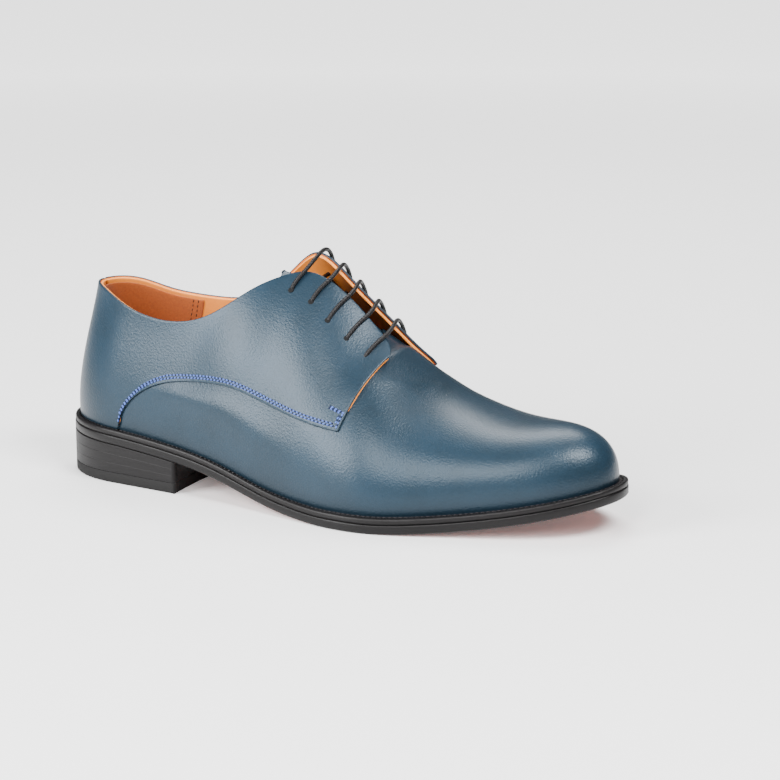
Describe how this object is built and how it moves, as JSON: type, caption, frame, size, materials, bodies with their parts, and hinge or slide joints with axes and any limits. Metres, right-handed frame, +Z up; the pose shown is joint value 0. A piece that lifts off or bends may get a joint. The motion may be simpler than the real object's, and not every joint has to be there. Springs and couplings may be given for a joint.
{
  "type": "derby shoe",
  "caption": "Right derby shoe of smooth leather with open lacing, long plain vamp, curved quarters, welted leather sole and stacked heel.",
  "frame": {"origin": "on the floor under the middle of the sole's box, in the plane that heel and forefoot rest on", "axes": "+X from the heel to the toe, +Y to the medial side of this right shoe, +Z up"},
  "size_m": [0.303, 0.1096, 0.1192],
  "materials": {
    "sole_leather": "smooth reddish brown leather with a black polished edge",
    "welt_leather": "black wheeled welt, satin",
    "insole_leather": "matt tan leather",
    "heel_leather": "black stacked leather, polished",
    "heel_rubber": "matt black rubber",
    "upper_leather": "satin blue-grey leather with a fine grain",
    "tongue_leather": "satin blue-grey leather",
    "lace_cord": "round waxed black cord"
  },
  "bodies": {
    "root": {"outsole": "sole_leather", "welt": "welt_leather", "insole": "insole_leather", "heel_stack": "heel_leather", "heel_top_piece": "heel_rubber", "upper": "upper_leather", "tongue": "tongue_leather", "laces": "lace_cord"}
  },
  "joints": []
}
